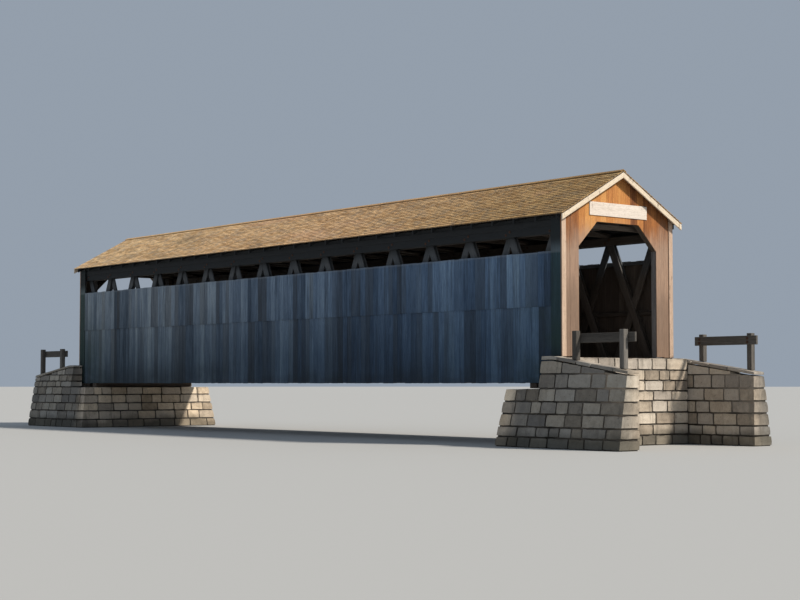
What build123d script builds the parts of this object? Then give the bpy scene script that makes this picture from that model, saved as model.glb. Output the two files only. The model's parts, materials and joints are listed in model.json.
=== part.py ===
"""A single-lane timber covered bridge on two stone abutments.

The frame: X runs along the roadway, Y across it and Z up. The origin is at the middle of
the bridge's base, at the foot of the abutments. East is the +X end, west the -X end, right
the +Y side and left the -Y side.
"""

import math
import os

from build123d import *

# Overall sizes
bridge_length = 30480.0  # between the outer faces of the two portals, 100 feet
bridge_width = 5050.0  # between the outer faces of the upper side boards
siding_bottom = 1930.0  # from the abutments' foot to the side boards' lower edge
open_strip_height = 540.0  # from the side boards' top to the upper chord
roof_pitch = 28.7  # degrees

# Side boards
board_thickness = 25.0
lower_row_height = 2350.0  # from the boards' lower edge to the upper row's lower edge
upper_row_height = 1700.0
lap_height = 60.0
end_board_length = 450.0  # full-height boards beside each portal

# Trusses
panel_count = 15
truss_inset = 500.0  # from the portal's face to the truss's first panel point
leaf_thickness = 70.0  # each chord is two timbers, one on each side of the braces
brace_thickness = 60.0
brace_width = 270.0
lower_chord_depth = 260.0
upper_chord_depth = 260.0
chord_reveal = 30.0  # from the side boards' lower edge up to the lower chord
miter_gap = 2.0

# Nailing girts behind the side boards
lower_girt_depth = 50.0
lower_girt_height = 150.0
girt_height = 120.0

# Floor
deck_thickness = 80.0
stringer_width = 120.0
stringer_depth = 150.0
stringer_count = 7
stringer_edge = 300.0  # from the truss's inner face to the outermost stringer's middle
floor_beam_width = 260.0
floor_beam_depth = 280.0
deck_clearance = 10.0
lateral_width = 150.0
lateral_depth = 50.0
lateral_gap = 0.5  # between two bars where one lies over the other
lateral_bays = 5
lateral_inset = 150.0

# Overhead framing and roof
tie_width = 150.0
tie_depth = 150.0
overhead_lateral_width = 120.0
overhead_lateral_depth = 50.0
overhead_lateral_drop = 20.0  # from the tie beams' tops
roof_plate_width = 200.0  # the timbers along the tie beams' ends that carry the rafters
roof_plate_depth = 140.0
eave_board_lap = 20.0  # over the upper chord and the roof plate
rafter_width = 75.0
rafter_depth = 140.0
rafter_notch = 25.0  # how deep the roof plate's outer corner sits in the rafters
sheathing_thickness = 25.0
shingle_thickness = 40.0
eave_overhang = 190.0
shingle_drip = 25.0
rafter_tail_setback = 50.0
gable_overhang = 250.0
rake_board_depth = 150.0
rake_board_thickness = 50.0
ridge_board_width = 130.0
ridge_board_thickness = 20.0

# Portals
opening_side = 760.0  # width of the boards beside the opening
portal_header_height = 130.0  # from the opening's top to the roof plate's top
chamfer_run = 820.0
chamfer_rise = 800.0
portal_post_size = 200.0
corner_post_width = 175.0
portal_brace_depth = 150.0
portal_sill_height = 230.0
threshold_gap = 20.0
trim_width = 180.0
trim_thickness = 30.0
sign_width = 2600.0
sign_height = 420.0
sign_rise = 190.0  # from the opening's top to the sign's lower edge

# Abutments
seat_length = 1800.0  # from the portal's face inwards
backwall_thickness = 600.0
abutment_side = 650.0  # how far the stonework stands out past the side boards
front_batter = 250.0
side_batter = 300.0
wing_clearance = 50.0  # from the side boards to the wing wall
wing_start = 400.0  # the wing wall begins this far inside the portal's face
wing_length = 3200.0  # and ends this far outside it
wing_level_end = 100.0
wing_rise = 30.0  # from the deck's top to the level part of the wing wall's top
wing_fall = 460.0  # from there to its far end
ledge_length = 250.0
inner_ledge_length = 450.0
stone_clearance = 10.0
bed_timber_width = 300.0
bed_timber_height = 180.0
bed_timber_places = (700.0, 1300.0)

# Guard rails on the wing walls
guard_post_size = 180.0
guard_post_height = 760.0
guard_post_places = (950.0, 2850.0)
guard_rail_depth = 280.0
guard_rail_thickness = 80.0
guard_rail_top = 680.0
guard_rail_start = 750.0

# Places worked out from the sizes above
half_length = bridge_length / 2
half_width = bridge_width / 2
upper_board_inner = half_width - board_thickness
lower_board_inner = upper_board_inner - board_thickness
truss_outer = lower_board_inner - lower_girt_depth
truss_thickness = 2 * leaf_thickness + 3 * brace_thickness
truss_inner = truss_outer - truss_thickness
brace_outer = truss_outer - leaf_thickness
brace_inner = truss_inner + leaf_thickness
lap_seam = siding_bottom + lower_row_height
siding_top = lap_seam + upper_row_height
lower_chord_bottom = siding_bottom + chord_reveal
lower_chord_top = lower_chord_bottom + lower_chord_depth
lower_chord_end = half_length - ledge_length - stone_clearance
upper_chord_bottom = siding_top + open_strip_height
upper_chord_top = upper_chord_bottom + upper_chord_depth
truss_half = half_length - truss_inset
panel = 2 * truss_half / panel_count
floor_beam_top = lower_chord_top + floor_beam_depth
deck_bottom = floor_beam_top + stringer_depth
road_level = deck_bottom + deck_thickness
tie_top = upper_chord_top + tie_depth
plate_top = tie_top + roof_plate_depth
opening_top = plate_top - portal_header_height
seat_level = lower_chord_bottom - bed_timber_height
wing_top = road_level + wing_rise
wing_end_top = wing_top - wing_fall
opening_half = half_width - opening_side
portal_back = half_length - board_thickness
portal_frame_back = portal_back - portal_post_size
corner_post_inner = upper_board_inner - corner_post_width
wing_inner = half_width + wing_clearance
stone_outer = half_width + abutment_side
slope = math.tan(math.radians(roof_pitch))
slope_cosine = math.cos(math.radians(roof_pitch))
under_sheathing = shingle_thickness + sheathing_thickness
under_rafter = under_sheathing + rafter_depth
rafter_seat = plate_top - rafter_notch
ridge_top = rafter_seat + slope * truss_outer + under_rafter / slope_cosine


def block(x_range, y_range, z_range):
    """A box between two values on each axis."""
    spans = [sorted(pair) for pair in (x_range, y_range, z_range)]
    corner = tuple(low for low, _ in spans)
    size = tuple(high - low for low, high in spans)
    low_corner = (Align.MIN, Align.MIN, Align.MIN)
    return Pos(*corner) * Box(*size, align=low_corner)


def side_prism(points, y_range):
    """An outline in X and Z, carried along Y."""
    low, high = sorted(y_range)
    outline = Plane.XZ.offset(-low) * make_face(Polyline(*points, close=True))
    return extrude(outline, amount=high - low, dir=(0, 1, 0))


def end_prism(points, x_range):
    """An outline in Y and Z, carried along X."""
    low, high = sorted(x_range)
    outline = Plane.YZ.offset(low) * make_face(Polyline(*points, close=True))
    return extrude(outline, amount=high - low, dir=(1, 0, 0))


def turned(pieces):
    """The same pieces at the opposite corner, half a turn about Z."""
    return [Rot(0, 0, 180) * piece for piece in pieces]


def mirrored_y(pieces):
    """The same pieces on the other side of the roadway."""
    return [mirror(piece, about=Plane.XZ) for piece in pieces]


def panel_point(index):
    """The place along X of a truss's panel point."""
    return -truss_half + index * panel


def roof_height(y, depth=0.0):
    """The height of the roof's plane at y, or of a plane that lies depth under it."""
    return ridge_top - slope * abs(y) - depth / slope_cosine


def write(name, pieces):
    """Writes one node's solids to its STEP file."""
    solids = [solid for piece in pieces for solid in piece.solids()]
    export_step(Compound(label=name, children=solids), f"parts/{name}.step")


# Stone abutments


def breast_wall():
    """The east abutment's body: a battered block with the bearing seat, the wall behind
    the deck's end and the ledges that carry the sill and the stringers."""
    front = half_length - seat_length
    back = half_length + backwall_thickness
    foot = Rectangle(back - front + front_batter, 2 * (stone_outer + side_batter))
    seat = Rectangle(back - front, 2 * stone_outer)
    body = loft(
        [
            Pos((back + front - front_batter) / 2, 0, 0) * foot,
            Pos((back + front) / 2, 0, seat_level) * seat,
        ]
    )
    ledge_top = road_level - portal_sill_height
    across = lower_board_inner - stone_clearance / 2
    inner_across = truss_inner - stone_clearance
    rise_steps = [
        ((half_length + stone_clearance, back), wing_inner, road_level),
        ((half_length - ledge_length, half_length + stone_clearance), across, ledge_top),
        ((half_length - inner_ledge_length, half_length), inner_across, ledge_top),
    ]
    for x_range, half_span, top in rise_steps:
        body += block(x_range, (-half_span, half_span), (seat_level, top))
    return body


def wing_profile(x):
    """The height of a wing wall's sloping top at x, east of the portal."""
    level_end = half_length + wing_level_end
    far_end = half_length + wing_length
    share = max(0.0, (x - level_end) / (far_end - level_end))
    return wing_top + share * (wing_end_top - wing_top)


def wing_wall(body):
    """The wing wall at the east end's right side, with a sloping top and a battered
    outer face. It steps over the shoulder of the abutment's body."""
    start = half_length - wing_start
    level_end = half_length + wing_level_end
    far_end = half_length + wing_length
    outline = [
        (start, 0),
        (far_end, 0),
        (far_end, wing_profile(far_end)),
        (level_end, wing_top),
        (start, wing_top),
    ]
    wall = side_prism(outline, (wing_inner, stone_outer + side_batter))
    batter_per_rise = side_batter / seat_level
    top_outer = stone_outer + side_batter - batter_per_rise * wing_top
    keep = end_prism(
        [
            (wing_inner, 0),
            (stone_outer + side_batter, 0),
            (top_outer, wing_top),
            (wing_inner, wing_top),
        ],
        (start, far_end),
    )
    return (wall & keep) - body


def bed_timbers():
    """The timbers on the east seat that carry the lower chords."""
    across = lower_board_inner - stone_clearance / 2
    pieces = []
    for place in bed_timber_places:
        middle = half_length - place
        x_range = (middle - bed_timber_width / 2, middle + bed_timber_width / 2)
        pieces.append(block(x_range, (-across, across), (seat_level, lower_chord_bottom)))
    return pieces


# Trusses, built on the right side


def brace(bottom_x, top_x, y_range):
    """One slanting timber, from the lower chord's bottom to the upper chord's top."""
    low = lower_chord_bottom
    high = upper_chord_top
    half_lower = lower_chord_depth / 2
    half_upper = upper_chord_depth / 2
    run_per_rise = (top_x - bottom_x) / (high - half_upper - low - half_lower)
    half_cut = brace_width / 2 * math.hypot(1, run_per_rise)
    low_x = bottom_x - run_per_rise * half_lower
    high_x = top_x + run_per_rise * half_upper
    outline = [
        (low_x - half_cut, low),
        (low_x + half_cut, low),
        (high_x + half_cut, high),
        (high_x - half_cut, high),
    ]
    return side_prism(outline, y_range)


def truss_braces():
    """The main braces, which lean towards mid-span in pairs, and the single counter
    braces that cross between them. Beside mid-span they meet at a plumb cut."""
    last_west_panel = panel_count // 2
    turn_x = panel_point(last_west_panel + 1)
    counter_inner = brace_inner + brace_thickness
    counter_outer = counter_inner + brace_thickness
    pair_layers = [(brace_inner, counter_inner), (counter_outer, brace_outer)]
    main, counter = [], []
    for index in range(panel_count):
        west, east = panel_point(index), panel_point(index + 1)
        leans_east = index <= last_west_panel
        main_ends = (west, east) if leans_east else (east, west)
        new_main = [brace(*main_ends, layer) for layer in pair_layers]
        new_counter = [brace(*reversed(main_ends), (counter_inner, counter_outer))]
        if index in (last_west_panel, last_west_panel + 1):
            side = -1 if leans_east else 1
            near = turn_x + side * miter_gap / 2
            keep = block(
                (near, near + side * 2 * panel),
                (truss_inner, truss_outer),
                (lower_chord_bottom, upper_chord_top),
            )
            new_main = [piece & keep for piece in new_main]
            new_counter = [piece & keep for piece in new_counter]
        main += new_main
        counter += new_counter
    return main, counter


def chord(end_x, z_range):
    """The two timbers of a chord, one on each side of the braces."""
    leaves = [(truss_inner, brace_inner), (brace_outer, truss_outer)]
    return [block((-end_x, end_x), leaf, z_range) for leaf in leaves]


# Floor


def floor_beams():
    """One beam across the lower chords in the middle of each panel."""
    pieces = []
    for index in range(panel_count):
        middle = panel_point(index + 0.5)
        x_range = (middle - floor_beam_width / 2, middle + floor_beam_width / 2)
        z_range = (lower_chord_top, floor_beam_top)
        pieces.append(block(x_range, (-truss_outer, truss_outer), z_range))
    return pieces


def floor_stringers():
    """The timbers along the bridge that lie on the floor beams."""
    reach = truss_inner - stringer_edge
    spacing = 2 * reach / (stringer_count - 1)
    end_x = portal_frame_back
    pieces = []
    for index in range(stringer_count):
        middle = -reach + index * spacing
        y_range = (middle - stringer_width / 2, middle + stringer_width / 2)
        pieces.append(block((-end_x, end_x), y_range, (floor_beam_top, deck_bottom)))
    return pieces


def deck():
    """The floor between the trusses."""
    across = brace_inner - deck_clearance
    end_x = portal_frame_back
    return block((-end_x, end_x), (-across, across), (deck_bottom, road_level))


def crossed_bars(run, rise, width, depth, top):
    """Two flat bars that cross in the middle of a bay, one lying over the other."""
    reach = 2 * math.hypot(run, rise)
    angle = math.degrees(math.atan2(rise, run))
    layer = depth + lateral_gap
    bay = Box(run, rise, depth)
    bar = Box(reach, width, depth)
    pair = [bay & (Rot(0, 0, turn) * bar) for turn in (angle, -angle)]
    lift = top - depth / 2
    return [Pos(0, 0, lift - index * layer) * one for index, one in enumerate(pair)]


def floor_laterals():
    """The crossed bars under the floor beams, between the lower chords."""
    bay = 2 * truss_half / lateral_bays
    run = bay - 2 * lateral_inset
    bars = crossed_bars(run, 2 * truss_inner, lateral_width, lateral_depth, lower_chord_top)
    middles = [-truss_half + (index + 0.5) * bay for index in range(lateral_bays)]
    return [Pos(middle, 0, 0) * bar for middle in middles for bar in bars]


# Overhead framing


def tie_beams():
    """One beam across the upper chords at each panel point."""
    pieces = []
    for index in range(panel_count + 1):
        middle = panel_point(index)
        x_range = (middle - tie_width / 2, middle + tie_width / 2)
        y_range = (-truss_outer, truss_outer)
        pieces.append(block(x_range, y_range, (upper_chord_top, tie_top)))
    return pieces


def roof_plate():
    """The timber along the right ends of the tie beams, which carries the rafters."""
    y_range = (truss_outer - roof_plate_width, truss_outer)
    return block((-portal_frame_back, portal_frame_back), y_range, (tie_top, plate_top))


def eave_board():
    """The board over the right tie beams' ends, from the upper chord to the roof plate."""
    y_range = (truss_outer, truss_outer + board_thickness)
    z_range = (upper_chord_top - eave_board_lap, tie_top + eave_board_lap)
    return block((-portal_frame_back, portal_frame_back), y_range, z_range)


def overhead_laterals():
    """The crossed bars between the tie beams."""
    run = panel - tie_width
    top = tie_top - overhead_lateral_drop
    bars = crossed_bars(
        run, 2 * truss_inner, overhead_lateral_width, overhead_lateral_depth, top
    )
    middles = [panel_point(index + 0.5) for index in range(panel_count)]
    return [Pos(middle, 0, 0) * bar for middle in middles for bar in bars]


# Roof, built on the right side


def roof_layer(top_depth, bottom_depth, eave_y, end_x):
    """A sloping layer between two depths under the roof's plane."""
    outline = [
        (0, roof_height(0, top_depth)),
        (eave_y, roof_height(eave_y, top_depth)),
        (eave_y, roof_height(eave_y, bottom_depth)),
        (0, roof_height(0, bottom_depth)),
    ]
    return end_prism(outline, (-end_x, end_x))


def rafters():
    """The right side's rafters, notched over the roof plate: two in each panel, and one
    against each portal's boards."""
    tail_y = half_width + eave_overhang - rafter_tail_setback
    one = roof_layer(under_sheathing, under_rafter, tail_y, rafter_width / 2)
    notch = block(
        (-rafter_width, rafter_width),
        (truss_outer - roof_plate_width, truss_outer),
        (tie_top, plate_top),
    )
    one -= notch
    last = portal_back - rafter_width / 2
    places = [-last, last]
    for index in range(panel_count):
        places += [panel_point(index + 0.25), panel_point(index + 0.75)]
    return [Pos(place, 0, 0) * one for place in places]


def rake_board():
    """The board along the right half of the east gable's edge."""
    eave_y = half_width + eave_overhang
    bottom = under_sheathing + rake_board_depth
    outline = [
        (miter_gap / 2, roof_height(miter_gap / 2, under_sheathing)),
        (eave_y, roof_height(eave_y, under_sheathing)),
        (eave_y, roof_height(eave_y, bottom)),
        (miter_gap / 2, roof_height(miter_gap / 2, bottom)),
    ]
    outer = half_length + gable_overhang
    return end_prism(outline, (outer - rake_board_thickness, outer))


def ridge_boards():
    """Two boards that cap the ridge and meet over it at a plumb cut."""
    near = miter_gap / 2
    reach = ridge_board_width * slope_cosine
    lift = -ridge_board_thickness
    outline = [
        (near, roof_height(near)),
        (reach, roof_height(reach)),
        (reach, roof_height(reach, lift)),
        (near, roof_height(near, lift)),
    ]
    end_x = half_length + gable_overhang
    right = end_prism(outline, (-end_x, end_x))
    return [right, *mirrored_y([right])]


# Side walls, built on the right side


def girts():
    """The rails behind the side boards: on the lower chord, at the lap and at the top."""
    lower_middle = (lower_chord_bottom + lower_chord_top) / 2
    half_lower = lower_girt_height / 2
    top_of_top = siding_top - lap_height / 2
    rails = [
        (
            lower_chord_end,
            (truss_outer, lower_board_inner),
            (lower_middle - half_lower, lower_middle + half_lower),
        ),
        (
            portal_frame_back,
            (brace_outer, lower_board_inner),
            (lap_seam - girt_height, lap_seam),
        ),
        (
            portal_frame_back,
            (brace_outer, upper_board_inner),
            (top_of_top - girt_height, top_of_top),
        ),
    ]
    return [block((-end_x, end_x), y_range, z_range) for end_x, y_range, z_range in rails]


def lower_siding():
    """The lower row of side boards."""
    end_x = half_length - end_board_length
    y_range = (lower_board_inner, upper_board_inner)
    return block((-end_x, end_x), y_range, (siding_bottom, lap_seam + lap_height))


def upper_siding():
    """The upper row of side boards, which laps over the lower row."""
    end_x = half_length - end_board_length
    y_range = (upper_board_inner, half_width)
    return block((-end_x, end_x), y_range, (lap_seam, siding_top))


def end_boards():
    """The full-height boards beside the east portal, cut to the rafters' slope."""
    outline = [
        (upper_board_inner, siding_bottom),
        (half_width, siding_bottom),
        (half_width, roof_height(half_width, under_rafter)),
        (upper_board_inner, roof_height(upper_board_inner, under_rafter)),
    ]
    return end_prism(outline, (half_length - end_board_length, portal_back))


# Portals, built at the east end


def portal_wall():
    """The boarded gable wall with its opening, whose upper corners are cut off."""
    eave = roof_height(half_width, under_sheathing)
    foot = road_level + threshold_gap
    opening = [
        (opening_half, foot),
        (opening_half, opening_top - chamfer_rise),
        (opening_half - chamfer_run, opening_top),
        (chamfer_run - opening_half, opening_top),
        (-opening_half, opening_top - chamfer_rise),
        (-opening_half, foot),
    ]
    outline = [
        (-half_width, foot),
        (-half_width, eave),
        (0, roof_height(0, under_sheathing)),
        (half_width, eave),
        (half_width, foot),
    ]
    return end_prism(outline + opening, (portal_back, half_length))


def portal_posts():
    """The posts beside the opening, and those at the portal's corners, which are cut to
    the rafters' slope."""
    depth = (portal_frame_back, portal_back)
    jamb = block(
        depth, (opening_half, opening_half + portal_post_size), (road_level, opening_top)
    )
    inner = corner_post_inner
    outline = [
        (inner, road_level),
        (upper_board_inner, road_level),
        (upper_board_inner, roof_height(upper_board_inner, under_rafter)),
        (inner, roof_height(inner, under_rafter)),
    ]
    corner = end_prism(outline, depth)
    return [jamb, corner, *mirrored_y([jamb, corner])]


def portal_header():
    """The beam over the opening, between the corner posts."""
    y_range = (-corner_post_inner, corner_post_inner)
    z_range = (opening_top, plate_top)
    return block((portal_frame_back, portal_back), y_range, z_range)


def portal_braces():
    """The slanting pieces behind the opening's cut-off corners."""
    slant = math.atan2(chamfer_rise, chamfer_run)
    outline = [
        (opening_half, opening_top - chamfer_rise),
        (opening_half - chamfer_run, opening_top),
        (opening_half - chamfer_run + portal_brace_depth / math.sin(slant), opening_top),
        (opening_half, opening_top - chamfer_rise + portal_brace_depth / math.cos(slant)),
    ]
    right = end_prism(outline, (portal_frame_back, portal_back))
    return [right, *mirrored_y([right])]


def portal_sill():
    """The timber under the portal's posts, at the deck's end."""
    across = lower_board_inner - stone_clearance / 2
    z_range = (road_level - portal_sill_height, road_level)
    return block((portal_frame_back, portal_back), (-across, across), z_range)


def corner_trim():
    """The pale boards at the portal's two outer edges."""
    inner = half_width - trim_width
    foot = road_level + threshold_gap
    outline = [
        (inner, foot),
        (half_width, foot),
        (half_width, roof_height(half_width, under_sheathing)),
        (inner, roof_height(inner, under_sheathing)),
    ]
    right = end_prism(outline, (half_length, half_length + trim_thickness))
    return [right, *mirrored_y([right])]


def sign_board():
    """The plain board over the opening."""
    bottom = opening_top + sign_rise
    return block(
        (half_length, half_length + trim_thickness),
        (-sign_width / 2, sign_width / 2),
        (bottom, bottom + sign_height),
    )


# Guard rails, built on the east end's right wing wall


def guard_posts():
    """The posts, cut to the slope of the wing wall that they stand on."""
    middle_y = (wing_inner + stone_outer) / 2
    y_range = (middle_y - guard_post_size / 2, middle_y + guard_post_size / 2)
    top = road_level + guard_post_height
    pieces = []
    for place in guard_post_places:
        west = half_length + place - guard_post_size / 2
        east = west + guard_post_size
        outline = [
            (west, wing_profile(west)),
            (east, wing_profile(east)),
            (east, top),
            (west, top),
        ]
        pieces.append(side_prism(outline, y_range))
    return pieces


def guard_rail():
    """The plank along the posts' road side."""
    outer = (wing_inner + stone_outer) / 2 - guard_post_size / 2
    top = road_level + guard_rail_top
    return block(
        (half_length + guard_rail_start, half_length + wing_length),
        (outer - guard_rail_thickness, outer),
        (top - guard_rail_depth, top),
    )


def all_four(pieces):
    """Pieces made at the east end's right side, repeated at the other three corners."""
    both_sides = [*pieces, *mirrored_y(pieces)]
    return [*both_sides, *turned(both_sides)]


def build():
    """Every node's name with its solids."""
    body = breast_wall()
    right_wing = wing_wall(body)
    main, counter = truss_braces()
    lower_chord = chord(lower_chord_end, (lower_chord_bottom, lower_chord_top))
    upper_chord = chord(portal_frame_back, (upper_chord_bottom, upper_chord_top))
    eave_y = half_width + eave_overhang
    roof_end = half_length + gable_overhang
    sheathing = roof_layer(shingle_thickness, under_sheathing, eave_y, roof_end)
    shingles = roof_layer(0, shingle_thickness, eave_y + shingle_drip, roof_end)
    one_sided = {
        "truss_lower_chord": lower_chord,
        "truss_upper_chord": upper_chord,
        "truss_main_braces": main,
        "truss_counter_braces": counter,
        "roof_plate": [roof_plate(), eave_board()],
        "rafters": rafters(),
        "roof_sheathing": [sheathing],
        "roof_shingles": [shingles],
        "girts": girts(),
        "lower_siding": [lower_siding()],
        "upper_siding": [upper_siding()],
    }
    east_end = {
        "abutment_body": [body],
        "wing_walls": [right_wing, *mirrored_y([right_wing])],
    }
    both_ends = {
        "bed_timbers": bed_timbers(),
        "portal_walls": [portal_wall()],
        "portal_sills": [portal_sill()],
        "portal_posts": portal_posts(),
        "portal_headers": [portal_header()],
        "portal_braces": portal_braces(),
        "portal_corner_trim": corner_trim(),
        "sign_boards": [sign_board()],
    }
    nodes = {
        "floor_beams": floor_beams(),
        "floor_stringers": floor_stringers(),
        "floor_deck": [deck()],
        "floor_laterals": floor_laterals(),
        "tie_beams": tie_beams(),
        "overhead_laterals": overhead_laterals(),
        "ridge_boards": ridge_boards(),
        "end_boards": all_four([end_boards()]),
        "rake_boards": all_four([rake_board()]),
        "guard_posts": all_four(guard_posts()),
        "guard_rails": all_four([guard_rail()]),
    }
    for name, pieces in one_sided.items():
        nodes[f"right_{name}"] = pieces
        nodes[f"left_{name}"] = turned(pieces)
    for name, pieces in east_end.items():
        nodes[f"east_{name}"] = pieces
        nodes[f"west_{name}"] = turned(pieces)
    for name, pieces in both_ends.items():
        nodes[name] = [*pieces, *turned(pieces)]
    return nodes


os.makedirs("parts", exist_ok=True)
for node_name, node_pieces in build().items():
    write(node_name, node_pieces)
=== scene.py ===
"""The looks of the covered bridge: boards, shingles, planks and stones as separate meshes,
timbers with worn edges, and the finish of every surface. All lengths are in metres."""

import json
import math
import random
from functools import lru_cache
from itertools import product

import bmesh
import bpy
import numpy as np
from mathutils import Matrix, Vector, noise


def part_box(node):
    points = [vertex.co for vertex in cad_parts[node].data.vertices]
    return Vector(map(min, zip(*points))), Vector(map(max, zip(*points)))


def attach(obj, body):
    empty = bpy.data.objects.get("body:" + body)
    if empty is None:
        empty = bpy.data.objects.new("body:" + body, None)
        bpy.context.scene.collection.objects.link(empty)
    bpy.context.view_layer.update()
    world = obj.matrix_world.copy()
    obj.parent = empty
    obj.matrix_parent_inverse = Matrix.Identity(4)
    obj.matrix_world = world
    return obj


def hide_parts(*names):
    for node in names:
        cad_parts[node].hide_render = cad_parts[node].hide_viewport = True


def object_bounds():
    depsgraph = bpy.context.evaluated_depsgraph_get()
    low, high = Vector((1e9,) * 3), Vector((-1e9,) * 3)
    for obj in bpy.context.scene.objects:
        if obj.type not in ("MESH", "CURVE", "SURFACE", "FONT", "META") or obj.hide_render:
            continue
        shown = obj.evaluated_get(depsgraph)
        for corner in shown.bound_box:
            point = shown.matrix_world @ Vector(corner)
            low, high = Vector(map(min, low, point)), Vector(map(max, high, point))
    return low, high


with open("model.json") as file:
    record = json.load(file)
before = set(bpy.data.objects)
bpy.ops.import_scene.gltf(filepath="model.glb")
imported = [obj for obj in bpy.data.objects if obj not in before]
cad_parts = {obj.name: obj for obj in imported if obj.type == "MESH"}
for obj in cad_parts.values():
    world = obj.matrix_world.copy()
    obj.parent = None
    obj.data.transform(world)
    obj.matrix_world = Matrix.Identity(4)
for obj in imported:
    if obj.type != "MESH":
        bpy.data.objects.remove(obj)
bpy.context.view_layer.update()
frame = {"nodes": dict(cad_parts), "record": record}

# Places taken from the frame. The right side is +Y and the east end +X.
lower_low, lower_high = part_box("right_lower_siding")
upper_low, upper_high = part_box("right_upper_siding")
end_low, end_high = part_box("end_boards")
portal_low, portal_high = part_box("portal_walls")
shingle_low, shingle_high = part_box("right_roof_shingles")
sheathing_low, sheathing_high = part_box("right_roof_sheathing")
deck_low, deck_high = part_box("floor_deck")
body_low, body_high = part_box("east_abutment_body")
wing_low, wing_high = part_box("east_wing_walls")
top_chord_low, top_chord_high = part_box("right_truss_upper_chord")
foot_chord_low, foot_chord_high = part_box("right_truss_lower_chord")
rails_low, rails_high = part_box("guard_rails")
opening_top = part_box("portal_headers")[0].z
sill_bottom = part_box("portal_sills")[0].z
seat_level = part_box("bed_timbers")[0].z

# Sizes that the frame's boxes don't give
roof_pitch = math.radians(28.7)
shingle_layer = 0.04
sheathing_thickness = 0.025
rafter_depth = 0.14
board_thickness = 0.025
opening_half = 1.765
chamfer_run = 0.82
chamfer_rise = 0.8
panel_count = 15
truss_end = 14.74
guard_post_places = (0.95, 2.85)
guard_rail_thickness = 0.08
front_batter = 0.25
side_batter = 0.3
wing_inner = 2.575
wing_level_length = 0.1
wing_fall = 0.46
backwall_gap = 0.01
ledge_length = 0.25
inner_ledge_length = 0.45

# Places that follow from these
level_end = portal_high.x + wing_level_length
backwall_face = portal_high.x + backwall_gap
ledge_front = portal_high.x - inner_ledge_length
slope_length = shingle_high.y / math.cos(roof_pitch)

# Each side's name, and whether its pieces are the right side's after half a turn
sides = (("right", False), ("left", True))
node_slots = {row["node"]: row["material_slot"] for row in frame["record"]["subparts"]}

# Meshes made of many small pieces

board_edge = 0.004
straight_turn = 1e-6
shift_reach = 40.0
group_sizes = (2, 5)


def turned_out(points, faces):
    """The faces of a closed piece, in an order that makes them look outwards."""
    fans = [
        (face[0], face[index], face[index + 1])
        for face in faces
        for index in range(1, len(face) - 1)
    ]
    first, second, third = (points[corners] for corners in np.array(fans).T)
    volume = np.einsum("ij,ij->", first, np.cross(second, third))
    return faces if volume > 0 else [face[::-1] for face in faces]


class Batch:
    """Collects small closed pieces for one mesh. Each corner keeps its place in its own
    piece's grain, with the length along Z, and each piece has a tone from 0 to 1."""

    def __init__(self):
        self.points, self.grain, self.tone = [], [], []
        self.faces, self.slots = [], []
        self.count = 0

    def add(self, points, faces, grain, tone, slots=None):
        points = np.asarray(points, float)
        self.points.append(points)
        self.grain.append(np.asarray(grain, float))
        self.tone.append(np.full(len(points), tone))
        for face in turned_out(points, faces):
            self.faces.append(tuple(corner + self.count for corner in face))
        self.slots += slots or [0] * len(faces)
        self.count += len(points)

    def make(self, name, materials, replaces=(), half_turn=False, smooth=False):
        """Makes the object. half_turn puts it at the opposite corner of the bridge."""
        points = np.concatenate(self.points)
        if half_turn:
            points = points * (-1, -1, 1)
        mesh = bpy.data.meshes.new(name)
        mesh.from_pydata(points.tolist(), [], self.faces)
        set_grain(mesh, np.concatenate(self.grain), np.concatenate(self.tone))
        mesh.polygons.foreach_set("material_index", self.slots)
        mesh.polygons.foreach_set("use_smooth", [smooth] * len(self.faces))
        add_piece(mesh, name, materials, replaces)


def set_grain(mesh, grain, tone):
    """Stores each corner's grain place and tone on the mesh."""
    place = mesh.attributes.new("grain", "FLOAT_VECTOR", "POINT")
    place.data.foreach_set("vector", np.asarray(grain, np.float32).ravel())
    shade = mesh.attributes.new("tone", "FLOAT", "POINT")
    shade.data.foreach_set("value", np.asarray(tone, np.float32))


def new_object(name, data):
    """A new object in the scene."""
    made = bpy.data.objects.new(name, data)
    bpy.context.scene.collection.objects.link(made)
    return made


def add_piece(mesh, name, materials, replaces):
    """Makes the mesh an object that rides on the bridge and stands for the named nodes."""
    mesh.update()
    piece = new_object(name, mesh)
    for material in materials:
        mesh.materials.append(material)
    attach(piece, "root")
    if replaces:
        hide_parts(*replaces)


def inset(outline, distance):
    """A counterclockwise outline with each edge moved inwards."""
    points = [Vector(point) for point in outline]
    moved = []
    for index, point in enumerate(points):
        before = (point - points[index - 1]).normalized()
        after = (points[(index + 1) % len(points)] - point).normalized()
        turn = before.x * after.y - before.y * after.x
        inward = Vector((-before.y, before.x)) * distance
        back = (1 - before.dot(after)) / turn if abs(turn) > straight_turn else 0.0
        moved.append(point + inward - before * distance * back)
    return moved


def ring_faces(size):
    """The faces of a closed piece made of three rings of corners, from back to front."""
    faces = [tuple(range(size)), tuple(range(3 * size - 1, 2 * size - 1, -1))]
    for start in (0, size):
        for index in range(size):
            near, far = start + index, start + (index + 1) % size
            faces.append((far, near, near + size, far + size))
    return faces


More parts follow.
